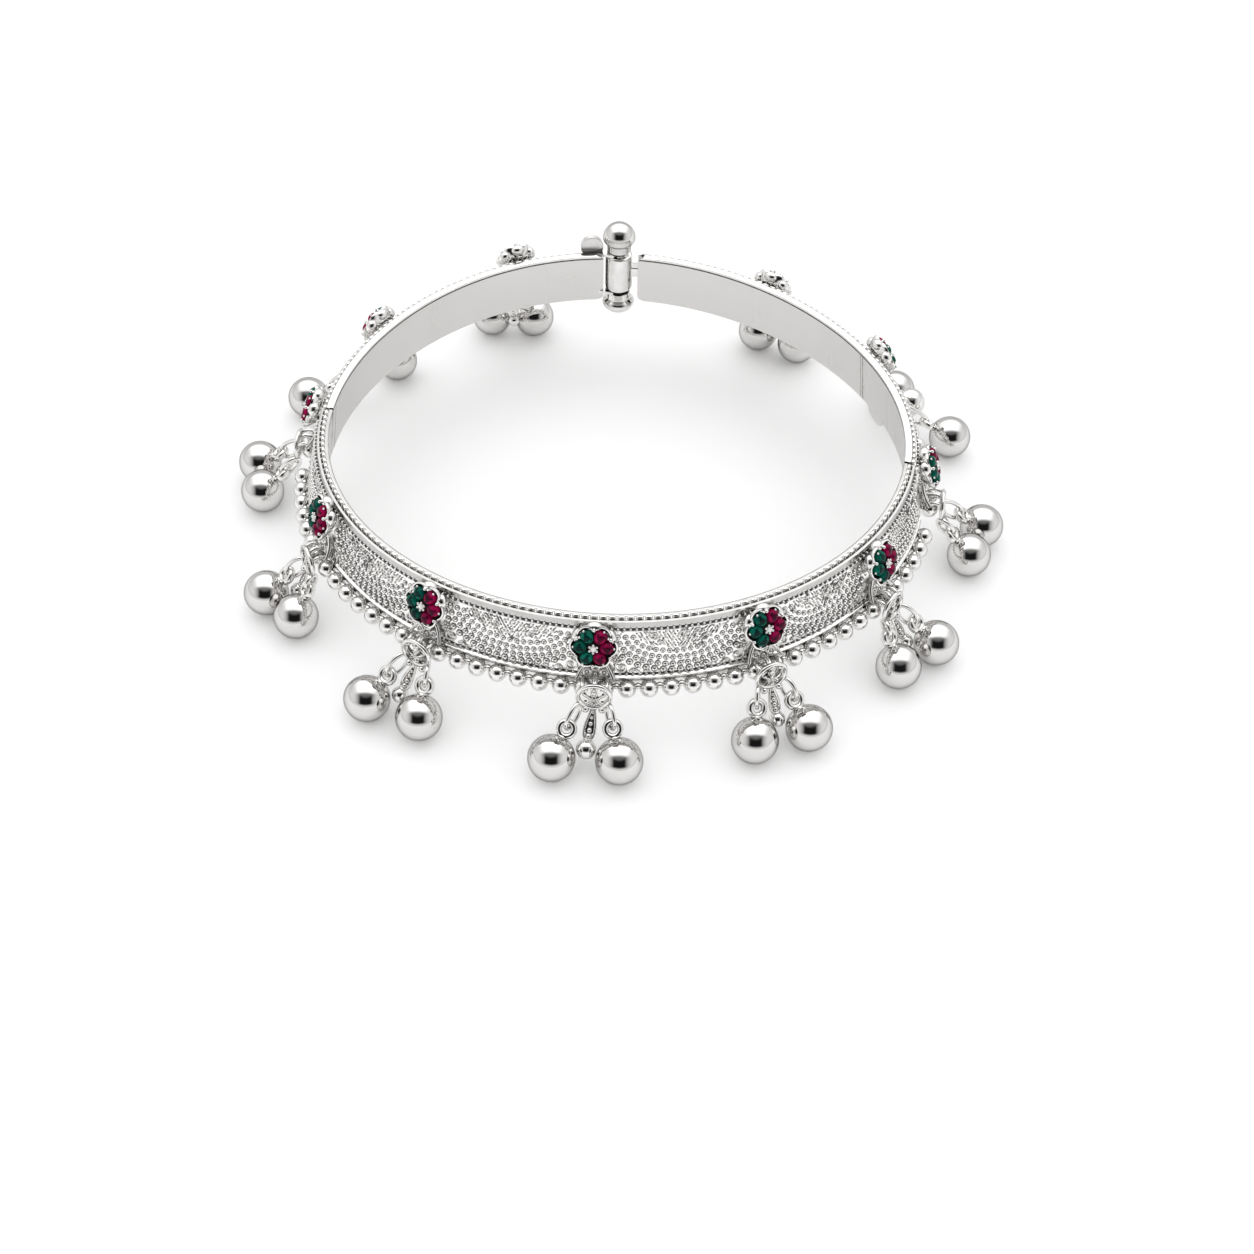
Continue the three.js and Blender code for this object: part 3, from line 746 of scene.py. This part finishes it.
b = Build()
rows = [(0, z - 10.7), (0.5, z - 10.68), (1.3, z - 10.5), (1.8, z - 10.2), (2.15, z - 9.85), (2.38, z - 9.45), (2.45, z - 9.1), (2.4, z - 8.85),
        (2.2, z - 8.6), (1.86, z - 8.42), (1.78, z - 8.3), (1.76, z - 7.3), (1.68, z - 7.18), (1.3, z - 7.12)]
n_low = len(rows)
rows += [(1.3, z - 6.62), (1.85, z - 6.58), (1.98, z - 6.45), (2.03, z - 6.2), (2.05, z - 5.7), (2.05, z - 1.2), (2.03, z - 0.85),
         (1.97, z - 0.66), (1.84, z - 0.54), (1.7, z - 0.5), (1.03, z - 0.5), (1.03, z - 6.3), (0, z - 6.3)]
v, f = lathe(rows, 56)
# the narrow neck between the lower knuckle and the barrel gets material 1, painted shade
m = []
for face in f:
    zs = [v[k][2] for k in face]
    m.append(1 if z - 7.19 < min(zs) and max(zs) < z - 6.57 else 0)
b.add(*moved((v, f), (CF, CO)), m)
# the lug that joins the barrel to the right segment
for d0, d1 in ((1.75, 2.35), (2.85, 4.3)):
    t = np.array([[-RIGHT_END - 0.8, -0.15], [-1.7, -0.15], [-1.7, 0.75], [-RIGHT_END - 0.8, 0.75]])
    b.add(*moved(prism(t, z - d1, z - d0, 0.12), (CF, CO)))
t = np.array([[-RIGHT_END - 0.8, 0.05], [-1.7, 0.05], [-1.7, 0.6], [-RIGHT_END - 0.8, 0.6]])
b.add(*moved(prism(t, z - 3.6, z - 2.4), (CF, CO)))
b.object("clasp_barrel", [SILVER, SHADE_PAINT], "arm_right", sharp=35)

b = Build()
for inner, drop in ((1.2, 0.38), (1.52, 7.05)):
    a = np.radians(np.arange(-65, 66, 6.5))
    o = 1.92
    pts = [(inner * math.cos(q), inner * math.sin(q)) for q in a[::-1]] + [(o * math.cos(-a[-1]), o * math.sin(-a[-1])), (LEFT_END + 1.2, -0.9), (LEFT_END + 1.2, 0.9), (o * math.cos(a[-1]), o * math.sin(a[-1]))]
    pts = np.array(pts)[::-1]
    n = len(pts)
    zz = z - drop
    v = np.concatenate([np.column_stack([pts, np.full(n, zz)]), np.column_stack([pts, np.full(n, zz + 0.4)])])
    f = [[i, (i + 1) % n, n + (i + 1) % n, n + i] for i in range(n)] + [list(range(n - 1, -1, -1)), list(range(n, 2 * n))]
    b.add(*moved((v, f), (CF, CO)))
# the rounded ear behind the left segment's end
az = CLASP_AZ + math.degrees(4.1 / CLASP_R)
a = np.arange(0, 360, 10)
outline = np.column_stack([1.7 * np.cos(np.radians(a)), 1.7 * np.sin(np.radians(a))])
b.add(*moved(prism(outline, 0, 0.9, 0.05), (np.stack([tangent(az), np.array([0, 0, 1.0]), radial(az)], -1), place(az, 40.3, -0.7))), 1)
b.object("clasp_hooks", [SILVER, SATIN], "arm_left", sharp=35)


# ---- flowers --------------------------------------------------------------------------
GEM = gem(9, 0.5, 0.55)
STAR = gem(6, 0.45, 0.5)


def flower(idx, st):
    b = Build()
    az = st[0] - (0.35 if idx == "01" else 0)
    tilt = math.radians(FLOWER_TILT)
    n = radial(az) * math.cos(tilt) + np.array([0, 0, math.sin(tilt)])
    t = tangent(az)
    up = np.cross(n, t)
    o = place(az, face_r(st[1]), st[1]) + n * FLOWER_BACK
    fr = np.stack([t, up, n], -1)
    # scalloped cup: narrower foot, flared lobes, a rim, then the bed, in painted shade under the stones
    a = np.arange(0, 360, 5)
    ar = np.radians(a)
    lobes = lambda r, k: np.column_stack([(r + k * (np.abs(np.cos(3 * ar)) - 0.5)) * np.cos(ar), (r + k * (np.abs(np.cos(3 * ar)) - 0.5)) * np.sin(ar)])
    rows = [(2.0, 0.1, -0.25), (2.25, 0.2, 0.1), (2.55, 0.34, 0.45), (2.76, 0.46, 0.8), (2.84, 0.52, 1.05), (2.80, 0.52, 1.2), (2.62, 0.48, 1.26), (2.45, 0.46, 1.16), (2.3, 0.44, 1.0)]
    v = np.concatenate([np.column_stack([lobes(r, k), np.full(len(a), h)]) for r, k, h in rows])
    m_ = len(a)
    f, mats = [], []
    for k in range(len(rows) - 1):
        for i in range(m_):
            j = (i + 1) % m_
            f.append([k * m_ + i, k * m_ + j, (k + 1) * m_ + j, (k + 1) * m_ + i])
            mats.append(0 if k < 6 else 1)
    f.append(list(range(m_ - 1, -1, -1)))
    f.append(list(range((len(rows) - 1) * m_, len(rows) * m_)))
    mats += [0, 1]
    b.add(*moved((v, f), (fr, o)), mats)
    # three petals at the top of the cup stand out behind the stones
    for k in range(3):
        q = math.radians(60 * k + 30)
        c = o + fr @ np.array([2.35 * math.cos(q), 2.35 * math.sin(q), 0.55])
        loc = np.array([[math.cos(q), -math.sin(q), 0], [math.sin(q), math.cos(q), 0], [0, 0, 1.0]])
        b.array(ROUND, c, fr @ loc, (0.80, 1.05, 0.80))
    # six stones round a clear one: each has its table and some facets in painted shade, the other facets in the
    # stone's colour
    for k in range(6):
        q = math.radians(60 * k)
        c = o + fr @ np.array([1.66 * math.cos(q), 1.66 * math.sin(q), 1.5])
        loc = np.array([[math.cos(q), -math.sin(q), 0], [math.sin(q), math.cos(q), 0], [0, 0, 1.0]])
        lean = 0.14
        tip = np.array([[math.cos(lean), 0, math.sin(lean)], [0, 1, 0], [-math.sin(lean), 0, math.cos(lean)]])
        v, f = GEM
        v = v * np.array([0.90, 0.80, 0.72])
        pair = (4, 5) if k in (0, 1, 5) else (2, 3)
        turn = (k * 5 + int(idx) * 3) % 9
        mats = [pair[1]] + [pair[1] if ((i - 1) // 5 + turn) % 3 == 0 and (i - 1) % 5 < 2 else pair[0] for i in range(1, len(f))]
        b.add(*moved((v, f), (fr @ loc @ tip, c)), mats, smooth=False)
    # the middle: a small clear stone on a star of six claws
    v, f = STAR
    b.add(*moved((v * np.array([0.42, 0.42, 0.40]), f), (fr, o + fr @ np.array([0, 0, 1.86]))), 6, smooth=False)
    for k in range(6):
        q = math.radians(60 * k + 30)
        c = o + fr @ np.array([0.52 * math.cos(q), 0.52 * math.sin(q), 1.88])
        b.array(BEAD, c, fr, 0.2)
        # one prong between neighbouring stones at the edge
        c = o + fr @ np.array([2.45 * math.cos(q), 2.45 * math.sin(q), 1.62])
        b.array(BEAD, c, fr, 0.26)
        p0 = fr @ np.array([2.5 * math.cos(q), 2.5 * math.sin(q), 0.7]) + o
        p1 = fr @ np.array([2.47 * math.cos(q), 2.47 * math.sin(q), 1.6]) + o
        b.add(*tube([p0, (p0 + p1) / 2, p1], 0.17, 6))
        q = math.radians(60 * k)
        c = o + fr @ np.array([2.56 * math.cos(q), 2.56 * math.sin(q), 1.5])
        b.array(BEAD, c, fr, 0.17)
    b.object(f"flower_{idx}", [SILVER, BED_SHADE_PAINT, GREEN, GREEN_SHADE_PAINT, MAGENTA, MAGENTA_SHADE_PAINT, CLEAR], st[10], [f"flower_setting_{idx}"], sharp=50)


# ---- hangers, rings and balls ------------------------------------------------------------
def drop_line(st, az, r, side):
    ball = radial(az) * r
    ball[2] = BALL_R
    hang = place(st[0], HANG_R, HANG_DROP, side * HANG_U)
    d = hang - ball
    length = np.linalg.norm(d)
    d = d / length
    n = radial(st[0]) * 0.7 + np.array([0, 0, 0.7])
    n = n - d * (n @ d)
    n /= np.linalg.norm(n)
    return ball, d, n, np.cross(d, n), length


def ring_path(centre, x, y, rx, ry, n):
    a = np.arange(n) * 2 * np.pi / n
    return centre + np.outer(np.cos(a) * rx, x) + np.outer(np.sin(a) * ry, y)


def disc(outline, depth):
    """A thin closed plate from a ring of points, thickened along depth."""
    n = len(outline)
    v = np.concatenate([outline, outline + depth])
    f = [[i, (i + 1) % n, n + (i + 1) % n, n + i] for i in range(n)] + [list(range(n - 1, -1, -1)), list(range(n, 2 * n))]
    return v, f


def hanger(idx, st):
    b = Build()
    az = st[0]
    f3 = face_frames(az, 0.45)
    t = tangent(az)
    # fan of wires and grains on the band below the flower
    def fan(u, drop, out):
        return on_face(az, drop, u, out)[0]
    for u, d, r in ((0, 6.05, 0.5), (0, 7.2, 0.55), (-1.05, 6.95, 0.42), (1.05, 6.95, 0.42)):
        c = fan(u, d, 0.75)
        b.add(*tube(ring_path(c, t, f3[:, 1], r, r, 16), 0.17, 8, closed=True))
        b.array(BEAD, c, f3, (r * 0.5, r * 0.5, 0.22))
    for s in (-1, 1):
        k = np.linspace(0, 1, 12)
        u = s * (0.7 + 1.6 * k ** 0.8)
        d = 5.3 + 2.4 * k
        p = on_face(az, d, u, 0.0)[0] + face_frames(az)[:, 2] * (0.4 + 0.9 * k ** 2)[:, None]
        b.add(*tube(p, 0.26, 8))
    # basket: an upright oval of thick wire in front of the bead row; inside it
    # two S-shaped wires and a column of ringed grains
    down = np.array([0, 0, -1.0])
    centre = place(az, 45.08, 8.75)
    ring = ring_path(centre, t, down + radial(az) * 0.05, 2.05, 1.80, 32)
    b.add(*tube(ring, 0.31, 8, closed=True))
    plate = ring_path(centre - radial(az) * 0.12, t, down + radial(az) * 0.05, 2.0, 1.75, 24)
    b.add(*disc(plate, radial(az) * 0.14), 0)
    # dark grains in the gaps of the basket: painted shade
    for u, d in ((-1.2, 8.3), (1.2, 8.3), (-1.05, 9.5), (1.05, 9.5), (-0.45, 8.8), (0.45, 8.8), (-0.5, 9.75), (0.5, 9.75)):
        b.array(GRAIN, place(az, 45.1, d, u), f3, (0.24, 0.2, 0.12), 1)
    for s in (-1, 1):
        k = np.linspace(0, 1, 16)
        u = s * (0.85 + 0.55 * np.sin(2 * np.pi * k))
        b.add(*tube(place(az, 45.16, 7.5 + 2.5 * k, u), 0.17, 6))
        b.array(BEAD, place(az, 45.2, np.array([7.7, 9.2]), s * np.array([1.45, 0.45])), f3, 0.26)
    for d in (7.55, 8.4, 9.25, 10.1):
        c = place(az, 45.18, d)
        b.add(*tube(ring_path(c, t, down, 0.34, 0.34, 12), 0.14, 6, closed=True))
        b.array(BEAD, c, f3, 0.22)
    for s in (-1, 1):
        # bridge wires from the fan over the bead row to the basket
        p = [place(az, 43.0, 7.55, s * 1.5), place(az, 43.9, 7.35, s * 1.55), place(az, 44.7, 7.6, s * 1.5), place(az, 45.05, 8.2, s * 1.5)]
        b.add(*tube(p, 0.26, 8))
        b.array(BEAD_FINE, place(az, 45.3, 10.8, s * 1.05), f3, 0.50)
    p = [place(az, 43.0, 7.3), place(az, 44.0, 7.1), place(az, 44.8, 7.5), place(az, 45.05, 8.2)]
    b.add(*tube(p, 0.36, 8))
    # tapered middle drop
    start = place(az, 45.05, 10.4)
    bob = radial(st[6]) * st[7]
    bob[2] = st[8]
    aim = bob - start
    reach = np.linalg.norm(aim)
    aim /= reach
    side = np.cross(aim, radial(az) * 0.7 + np.array([0, 0, 0.7]))
    side /= np.linalg.norm(side)
    front = np.cross(side, aim)
    body = reach - st[9] / 2
    k = np.arange(26) * 2 * np.pi / 26
    w = 0.26 + 0.74 * ((1 - np.cos(k)) / 2) ** 1.2
    loop = start + np.outer((1 - np.cos(k)) / 2 * (body + 0.15), aim) + np.outer(np.sin(k) * w, side)
    b.add(*tube(loop, 0.19, 8, closed=True))
    b.add(*disc(loop - front * 0.1, front * -0.12), 0)
    for q, r in ((0.2, 0.2), (0.36, 0.24), (0.54, 0.30), (0.74, 0.36), (0.92, 0.40)):
        b.array(BEAD_FINE, start + aim * body * q, np.stack([side, front, aim], -1), (r, r, r * 1.05))
    # dark grains between the beads: painted shade
    for q in (0.28, 0.45, 0.64, 0.83):
        b.array(GRAIN, start + aim * body * q + front * 0.03, np.stack([side, front, aim], -1), (0.17, 0.1, 0.13), 1)
    for s in (-1, 1):
        b.array(BEAD, start + aim * body * 0.86 + side * 0.5 * s, np.stack([side, front, aim], -1), 0.22)
    b.array(ROUND, bob, np.stack([side, front, aim], -1), st[9] / 2)
    b.array(ROUND, start + aim * (body + 0.02), np.stack([side, front, aim], -1), (0.62, 0.62, 0.2))
    # the two oval jump rings
    for a_, r_, s in ((st[2], st[3], -1), (st[4], st[5], 1)):
        ball, d, n, t2, length = drop_line(st, a_, r_, s)
        low, high = RING_LOW_AT, length + 0.25
        c = ball + d * (low + high) / 2
        n = math.cos(RING_TURN) * n + s * math.sin(RING_TURN) * np.cross(d, n)
        b.add(*tube(ring_path(c, n, d, RING_HALF_W, (high - low) / 2, 32), 0.29, 10, closed=True))
    b.object(f"hanging_{idx}", [SILVER, SHADE_PAINT], st[10], [f"hanger_{idx}"], sharp=60)


GLOBE = lathe([(BALL_R * math.cos(q), BALL_R * math.sin(q)) for q in np.radians(np.arange(-90, 90.1, 5.625))], 64)


def ball(idx, letter, st, az, r, side):
    b = Build()
    c, d, n, t, length = drop_line(st, az, r, side)
    b.add(*moved(GLOBE, (np.stack([n, np.cross(d, n), d], -1), c)), 0)
    # eyelet: a thick flat ring, standing on a small foot
    at = c + d * EYE_AT
    prof = [(0.40, 0.0), (0.37, 0.26), (0.24, 0.44), (0.0, 0.50), (-0.24, 0.44), (-0.37, 0.26), (-0.40, 0.0), (-0.37, -0.26), (-0.24, -0.44), (0.0, -0.50), (0.24, -0.44), (0.37, -0.26)]
    seg = 32
    v = []
    for i in range(seg):
        q = 2 * math.pi * i / seg
        e = t * math.cos(q) + d * math.sin(q)
        for pr, pz in prof:
            v.append(at + e * (0.96 + pr) + n * pz)
    k = len(prof)
    f = [[i * k + j, ((i + 1) % seg) * k + j, ((i + 1) % seg) * k + (j + 1) % k, i * k + (j + 1) % k] for i in range(seg) for j in range(k)]
    b.add(v, f, 1)
    foot = lathe([(0, 2.7), (0.62, 2.85), (0.58, 3.05), (0.46, 3.2), (0.5, 3.3), (0, 3.3)], 20)
    b.add(*moved(foot, (np.stack([n, np.cross(d, n), d], -1), c)), 1)
    b.object(f"bell_{idx}_{letter}", [BALL, SILVER], st[10], [f"ball_{idx}_{letter}"], sharp=50)


for i, st in enumerate(STATIONS):
    idx = f"{i + 1:02d}"
    flower(idx, st)
    hanger(idx, st)
    ball(idx, "a", st, st[2], st[3], -1)
    ball(idx, "b", st, st[4], st[5], 1)

# the hinge pins keep their CAD form
for name in ("hinge_pin_left", "hinge_pin_right"):
    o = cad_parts[name]
    for s in o.material_slots:
        s.material = SATIN


# ---- floor, light and camera ---------------------------------------------------------------
me = bpy.data.meshes.new("floor")
S = 6.0
me.from_pydata([(-S, -S, 0), (S, -S, 0), (S, S, 0), (-S, S, 0)], [], [(0, 1, 2, 3)])
floor = bpy.data.objects.new("floor", me)
bpy.context.scene.collection.objects.link(floor)
fm, nt, fb = material("floor_white", (0.93, 0.93, 0.93), 0.0, 0.6, Specular_IOR_Level=0.2)
tx = noise(nt, 6, 2.0)
nt.links.new(color_mix(nt, ramp(nt, tx.outputs["Fac"], 0.3, 0.7, 0, 1), (0.925, 0.925, 0.925), (0.94, 0.94, 0.94)), fb.inputs["Base Color"])
me.materials.append(fm)

world = bpy.data.worlds.new("studio")
bpy.context.scene.world = world
world.use_nodes = True
nt = world.node_tree
nt.nodes.clear()
out = nt.nodes.new("ShaderNodeOutputWorld")
bg = nt.nodes.new("ShaderNodeBackground")
tc = nt.nodes.new("ShaderNodeTexCoord")
nt.links.new(bg.outputs["Background"], out.inputs["Surface"])


def math_node(op, a, b_=None, c=None):
    n = nt.nodes.new("ShaderNodeMath")
    n.operation = op
    for i, val in enumerate((a, b_, c)):
        if val is None:
            continue
        if isinstance(val, (int, float)):
            n.inputs[i].default_value = val
        else:
            nt.links.new(val, n.inputs[i])
    return n.outputs[0]


def dot_with(vec):
    n = nt.nodes.new("ShaderNodeVectorMath")
    n.operation = "DOT_PRODUCT"
    nt.links.new(tc.outputs["Generated"], n.inputs[0])
    n.inputs[1].default_value = vec
    return n.outputs["Value"]


def smooth(value, lo, hi):
    r = nt.nodes.new("ShaderNodeMapRange")
    r.interpolation_type = "SMOOTHSTEP"
    r.inputs["From Min"].default_value = lo
    r.inputs["From Max"].default_value = hi
    nt.links.new(value, r.inputs["Value"])
    return r.outputs["Result"]


SOFT, SIDE, FAR, FRONT, NEAR_LOW, CARD, DOME = 1.9, 0.94, 0.76, 0.24, 0.85, 0.012, 1.22
x, y, z_ = dot_with((1, 0, 0)), dot_with((0, 1, 0)), dot_with((0, 0, 1))


def blend(amount, base, other):
    return math_node("ADD", math_node("MULTIPLY", amount, math_node("SUBTRACT", other, base)), base)


def within(value, lo, hi, soft):
    return math_node("MULTIPLY", smooth(value, lo - soft, lo + soft), smooth(value, hi + soft, hi - soft))


# a room that is lighter on the far side and dim on the camera's side
light = blend(smooth(y, 0.0, 0.7), SIDE, FAR)
light = blend(math_node("MULTIPLY", within(x, -0.68, 0.68, 0.26), smooth(y, 0.12, -0.30)), light, FRONT)
light = blend(smooth(z_, 0.24, 0.08), light, NEAR_LOW)
# the dark opening behind the camera
patch = math_node("MULTIPLY", within(x, -0.50, 0.50, 0.12), smooth(y, -0.30, -0.56))
patch = math_node("MULTIPLY", patch, math_node("MULTIPLY", smooth(z_, 0.22, 0.30), smooth(z_, 0.92, 0.66)))
light = blend(patch, light, CARD)
# a large soft box overhead, towards the far side
along = math_node("SQRT", math_node("MAXIMUM", math_node("SUBTRACT", 1.0, math_node("MULTIPLY", x, x)), 0.0001))
c = (0.0, math.cos(math.radians(69)), math.sin(math.radians(69)))
turn = math_node("DIVIDE", dot_with(c), along)
soft = math_node("MULTIPLY", smooth(turn, math.cos(math.radians(47)), math.cos(math.radians(20))), within(x, -0.64, 0.64, 0.24))
light = blend(soft, light, SOFT)
# matt things are lit evenly from all round, and the backdrop is plain white
lp = nt.nodes.new("ShaderNodeLightPath")
light = blend(lp.outputs["Is Diffuse Ray"], light, DOME)
light = blend(lp.outputs["Is Camera Ray"], light, 0.99)
nt.links.new(light, bg.inputs["Color"])
bg.inputs["Strength"].default_value = 1.0

cam = bpy.data.cameras.new("camera")
co = bpy.data.objects.new("camera", cam)
bpy.context.scene.collection.objects.link(co)
pitch, yaw, roll, focal = 0.7614475, 0.0090490, 0.0252476, 2160.6624
fw = Vector((math.sin(yaw) * math.cos(pitch), math.cos(yaw) * math.cos(pitch), -math.sin(pitch)))
rt = Vector((math.cos(yaw), -math.sin(yaw), 0))
up = rt.cross(fw)
r_ = math.cos(roll) * rt + math.sin(roll) * up
u_ = -math.sin(roll) * rt + math.cos(roll) * up
m = Matrix((r_, u_, -fw)).transposed().to_4x4()
m.translation = Vector((0, -0.23416861, 0.20249003))
co.matrix_world = m
cam.sensor_width = 36
cam.lens = focal / 1254 * 36
cam.clip_start, cam.clip_end = 0.01, 20
bpy.context.scene.camera = co
bpy.context.scene.view_settings.view_transform = "Standard"
bpy.context.scene.view_settings.look = "None"
